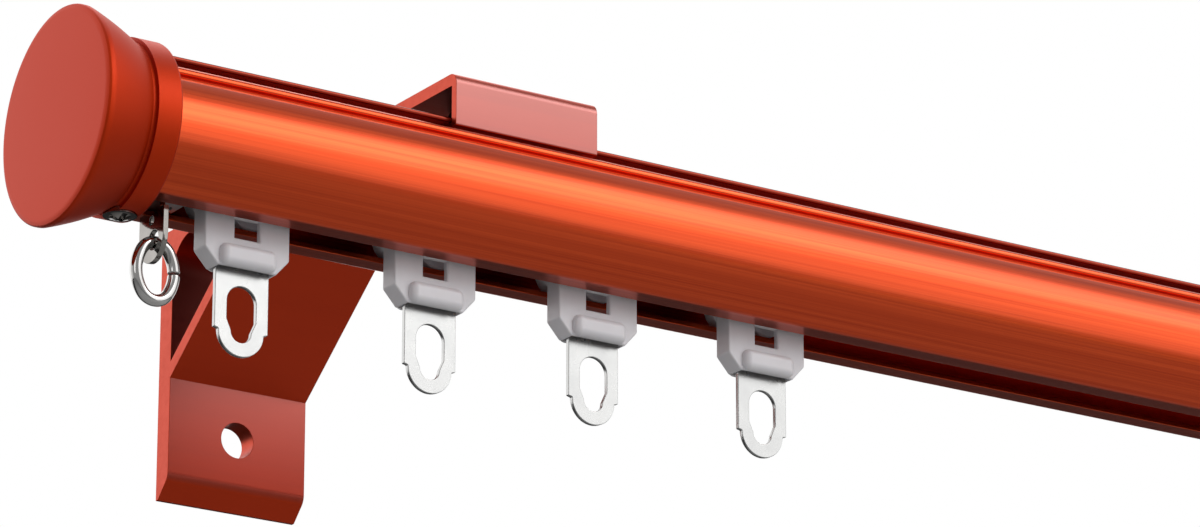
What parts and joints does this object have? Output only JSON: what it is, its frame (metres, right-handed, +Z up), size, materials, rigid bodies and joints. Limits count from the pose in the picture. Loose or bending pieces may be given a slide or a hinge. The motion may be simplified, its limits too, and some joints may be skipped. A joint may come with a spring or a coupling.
{
  "type": "curtain track",
  "caption": "Wall-mounted curtain track: round slotted rail on two brackets, flared end caps with end stops, and wheeled runners with hook eyes.",
  "frame": {"origin": "midpoint between the two wall screw holes, on the wall face of the brackets", "axes": "+X along the rail, +Z up, +Y into the wall; the rail stands off towards -Y"},
  "size_m": [0.5006, 0.1199, 0.0608],
  "materials": {
    "brushed_anodised": "brushed along its length and anodised rust red",
    "satin_anodised": "satin, anodised rust red",
    "white_nylon": "moulded nylon, slightly translucent",
    "stainless_steel": "stamped and tumbled",
    "chrome_steel": "dark nickel-chrome plate",
    "zinc_steel": "zinc plate"
  },
  "bodies": {
    "track": {"rail": "brushed_anodised", "left_bracket": "satin_anodised", "left_clamp_plate": "zinc_steel", "left_clamp_screw": "zinc_steel", "left_finial": "satin_anodised", "left_finial_screw": "chrome_steel", "left_stop_block": "zinc_steel", "left_stop_screw": "zinc_steel", "left_stop_pin": "zinc_steel", "left_stop_tag": "chrome_steel", "right_bracket": "satin_anodised", "right_clamp_plate": "zinc_steel", "right_clamp_screw": "zinc_steel", "right_finial": "satin_anodised", "right_finial_screw": "chrome_steel", "right_stop_block": "zinc_steel", "right_stop_screw": "zinc_steel", "right_stop_pin": "zinc_steel", "right_stop_tag": "chrome_steel"},
    "left_ring": {"left_stop_ring": "chrome_steel"},
    "right_ring": {"right_stop_ring": "chrome_steel"},
    "runner_1": {"runner_1_carriage": "white_nylon", "runner_1_left_axle": "zinc_steel", "runner_1_right_axle": "zinc_steel", "runner_1_hinge_pin": "zinc_steel"},
    "runner_1_left_roll": {"runner_1_left_wheels": "white_nylon"},
    "runner_1_right_roll": {"runner_1_right_wheels": "white_nylon"},
    "runner_1_tab": {"runner_1_eye_tab": "stainless_steel"},
    "runner_2": {"runner_2_carriage": "white_nylon", "runner_2_left_axle": "zinc_steel", "runner_2_right_axle": "zinc_steel", "runner_2_hinge_pin": "zinc_steel"},
    "runner_2_left_roll": {"runner_2_left_wheels": "white_nylon"},
    "runner_2_right_roll": {"runner_2_right_wheels": "white_nylon"},
    "runner_2_tab": {"runner_2_eye_tab": "stainless_steel"},
    "runner_3": {"runner_3_carriage": "white_nylon", "runner_3_left_axle": "zinc_steel", "runner_3_right_axle": "zinc_steel", "runner_3_hinge_pin": "zinc_steel"},
    "runner_3_left_roll": {"runner_3_left_wheels": "white_nylon"},
    "runner_3_right_roll": {"runner_3_right_wheels": "white_nylon"},
    "runner_3_tab": {"runner_3_eye_tab": "stainless_steel"},
    "runner_4": {"runner_4_carriage": "white_nylon", "runner_4_left_axle": "zinc_steel", "runner_4_right_axle": "zinc_steel", "runner_4_hinge_pin": "zinc_steel"},
    "runner_4_left_roll": {"runner_4_left_wheels": "white_nylon"},
    "runner_4_right_roll": {"runner_4_right_wheels": "white_nylon"},
    "runner_4_tab": {"runner_4_eye_tab": "stainless_steel"}
  },
  "joints": [
    {"name": "runner_1_slide", "type": "slide", "parent": "track", "child": "runner_1", "axis": [1, 0, 0], "range_m": [-0.00325, 0.0209]},
    {"name": "runner_1_left_roll_spin", "type": "hinge", "parent": "runner_1", "child": "runner_1_left_roll", "pos_m": [-0.2172, -0.1004, 0.0105], "axis": [0, 1, 0], "range_deg": [-49.7, 309]},
    {"name": "runner_1_right_roll_spin", "type": "hinge", "parent": "runner_1", "child": "runner_1_right_roll", "pos_m": [-0.2088, -0.1004, 0.0105], "axis": [0, 1, 0], "range_deg": [-49.7, 309]},
    {"name": "runner_1_tab_swing", "type": "hinge", "parent": "runner_1", "child": "runner_1_tab", "pos_m": [-0.213, -0.1004, -0.0009], "axis": [1, 0, 0], "range_deg": [-24, 24]},
    {"name": "runner_2_slide", "type": "slide", "parent": "track", "child": "runner_2", "axis": [1, 0, 0], "range_m": [-0.0209, 0.0171]},
    {"name": "runner_2_left_roll_spin", "type": "hinge", "parent": "runner_2", "child": "runner_2_left_roll", "pos_m": [-0.179, -0.1004, 0.0105], "axis": [0, 1, 0], "range_deg": [-309, 253.2]},
    {"name": "runner_2_right_roll_spin", "type": "hinge", "parent": "runner_2", "child": "runner_2_right_roll", "pos_m": [-0.1706, -0.1004, 0.0105], "axis": [0, 1, 0], "range_deg": [-309, 253.2]},
    {"name": "runner_2_tab_swing", "type": "hinge", "parent": "runner_2", "child": "runner_2_tab", "pos_m": [-0.1748, -0.1004, -0.0009], "axis": [1, 0, 0], "range_deg": [-24, 24]},
    {"name": "runner_3_slide", "type": "slide", "parent": "track", "child": "runner_3", "axis": [1, 0, 0], "range_m": [-0.0171, 0.0196]},
    {"name": "runner_3_left_roll_spin", "type": "hinge", "parent": "runner_3", "child": "runner_3_left_roll", "pos_m": [-0.1446, -0.1004, 0.0105], "axis": [0, 1, 0], "range_deg": [-253.2, 289.9]},
    {"name": "runner_3_right_roll_spin", "type": "hinge", "parent": "runner_3", "child": "runner_3_right_roll", "pos_m": [-0.1362, -0.1004, 0.0105], "axis": [0, 1, 0], "range_deg": [-253.2, 289.9]},
    {"name": "runner_3_tab_swing", "type": "hinge", "parent": "runner_3", "child": "runner_3_tab", "pos_m": [-0.1404, -0.1004, -0.0009], "axis": [1, 0, 0], "range_deg": [-24, 24]},
    {"name": "runner_4_slide", "type": "slide", "parent": "track", "child": "runner_4", "axis": [1, 0, 0], "range_m": [-0.0196, 0.31975]},
    {"name": "runner_4_left_roll_spin", "type": "hinge", "parent": "runner_4", "child": "runner_4_left_roll", "pos_m": [-0.1077, -0.1004, 0.0105], "axis": [0, 1, 0], "range_deg": [-289.9, 4699.5]},
    {"name": "runner_4_right_roll_spin", "type": "hinge", "parent": "runner_4", "child": "runner_4_right_roll", "pos_m": [-0.0993, -0.1004, 0.0105], "axis": [0, 1, 0], "range_deg": [-289.9, 4699.5]},
    {"name": "runner_4_tab_swing", "type": "hinge", "parent": "runner_4", "child": "runner_4_tab", "pos_m": [-0.1035, -0.1004, -0.0009], "axis": [1, 0, 0], "range_deg": [-24, 24]},
    {"name": "left_ring_swing", "type": "hinge", "parent": "track", "child": "left_ring", "pos_m": [-0.23035, -0.1012, -0.001], "axis": [1, 0, 0], "range_deg": [-60, 60]},
    {"name": "right_ring_swing", "type": "hinge", "parent": "track", "child": "right_ring", "pos_m": [0.23035, -0.0996, -0.001], "axis": [1, 0, 0], "range_deg": [-60, 60]}
  ],
  "couplings": [
    {"joint": "runner_1_left_roll_spin", "follows": "runner_1_slide", "rad_per_m": 256.41},
    {"joint": "runner_1_right_roll_spin", "follows": "runner_1_slide", "rad_per_m": 256.41},
    {"joint": "runner_2_left_roll_spin", "follows": "runner_2_slide", "rad_per_m": 256.41},
    {"joint": "runner_2_right_roll_spin", "follows": "runner_2_slide", "rad_per_m": 256.41},
    {"joint": "runner_3_left_roll_spin", "follows": "runner_3_slide", "rad_per_m": 256.41},
    {"joint": "runner_3_right_roll_spin", "follows": "runner_3_slide", "rad_per_m": 256.41},
    {"joint": "runner_4_left_roll_spin", "follows": "runner_4_slide", "rad_per_m": 256.41},
    {"joint": "runner_4_right_roll_spin", "follows": "runner_4_slide", "rad_per_m": 256.41}
  ]
}
